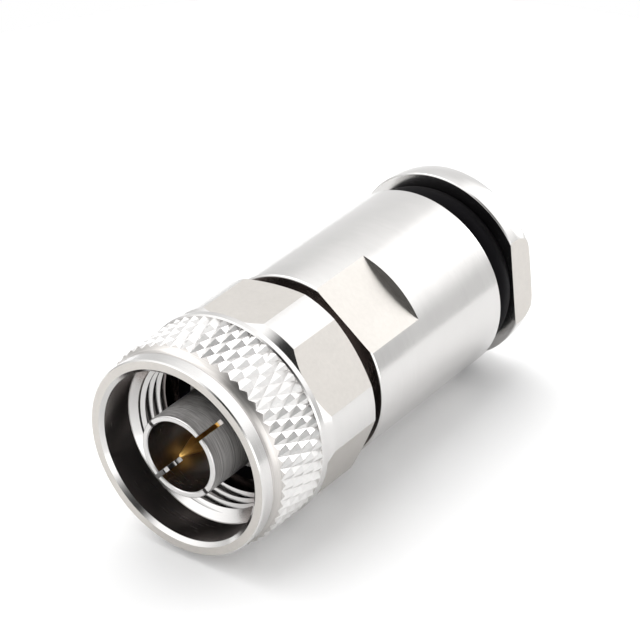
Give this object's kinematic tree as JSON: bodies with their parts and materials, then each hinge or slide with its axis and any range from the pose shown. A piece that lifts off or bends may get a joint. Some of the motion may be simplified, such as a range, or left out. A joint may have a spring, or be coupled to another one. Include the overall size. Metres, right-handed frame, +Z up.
{
  "type": "n type connector",
  "caption": "Coaxial cable plug: knurled hexagon coupling nut, slotted outer contact with a gold pin, body with wrench flats, and a cable clamp nut on a rubber ring.",
  "frame": {"origin": "centre of the outer contact's front lip, on the connector axis: the plane where the mating outer contact seats", "axes": "-Y out of the mating end, +Y out of the cable end along the connector axis, +Z up as it lies, +X to the right"},
  "size_m": [0.0205, 0.0436, 0.0204],
  "materials": {
    "nickel": "bright nickel plating on turned brass",
    "bronze": "plain turned bronze",
    "gold": "gold plating on turned brass",
    "white_resin": "white turned insulating resin",
    "rubber": "black moulded rubber, faint sheen"
  },
  "bodies": {
    "plug_body": {"body": "nickel", "snap_ring": "bronze", "outer_contact": "nickel", "mating_gasket": "rubber", "front_insulator": "white_resin", "centre_contact": "gold", "rear_insulator": "white_resin", "braid_clamp": "bronze", "cable_gasket": "rubber"},
    "coupling_nut": {"coupling_nut": "nickel"},
    "clamp_washer": {"clamp_washer": "bronze"},
    "clamp_nut": {"clamp_nut": "nickel", "clamp_seal": "rubber"}
  },
  "joints": [
    {"name": "coupling_nut_spin", "type": "hinge", "parent": "plug_body", "child": "coupling_nut", "pos_m": [0, 0.012, 0], "axis": [0, 1, 0], "continuous": true},
    {"name": "clamp_feed", "type": "slide", "parent": "plug_body", "child": "clamp_washer", "axis": [0, 1, 0], "range_m": [0, 0.00651]},
    {"name": "clamp_nut_turn", "type": "hinge", "parent": "clamp_washer", "child": "clamp_nut", "pos_m": [0, 0.038, 0], "axis": [0, 1, 0], "range_deg": [0, 2340]}
  ],
  "couplings": [
    {"joint": "clamp_feed", "follows": "clamp_nut_turn", "m_per_rad": 0.00015915}
  ]
}
